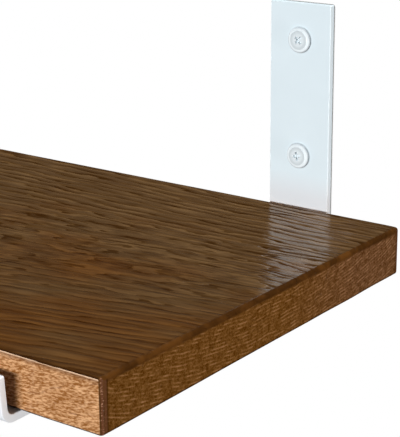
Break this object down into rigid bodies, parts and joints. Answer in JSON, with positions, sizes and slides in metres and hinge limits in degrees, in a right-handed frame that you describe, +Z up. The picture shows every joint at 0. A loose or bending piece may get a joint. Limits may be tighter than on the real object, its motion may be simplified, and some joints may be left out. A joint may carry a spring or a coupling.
{
  "type": "bracket wall shelf",
  "caption": "Stained oak shelf board carried by bent flat-steel brackets, each with a wall plate above the board and a lip in front.",
  "frame": {"origin": "on the wall's face, midway along the shelf, level with the top of the board", "axes": "+X along the shelf to the right as seen from the room, +Y into the wall, +Z up"},
  "size_m": [0.6, 0.2506, 0.1163],
  "materials": {
    "stained_oak": "satin",
    "white_powder_coat": "satin",
    "white_painted_screw": "satin",
    "zinc_plated_screw": "satin",
    "grey_nylon": "matte"
  },
  "bodies": {
    "root": {"shelf_board": "stained_oak", "bracket_left": "white_powder_coat", "bracket_right": "white_powder_coat", "wall_screw_left_lower": "white_painted_screw", "wall_screw_left_upper": "white_painted_screw", "wall_screw_right_lower": "white_painted_screw", "wall_screw_right_upper": "white_painted_screw", "wall_plug_left_lower": "grey_nylon", "wall_plug_left_upper": "grey_nylon", "wall_plug_right_lower": "grey_nylon", "wall_plug_right_upper": "grey_nylon", "board_screw_left_back": "zinc_plated_screw", "board_screw_left_front": "zinc_plated_screw", "board_screw_right_back": "zinc_plated_screw", "board_screw_right_front": "zinc_plated_screw"}
  },
  "joints": []
}
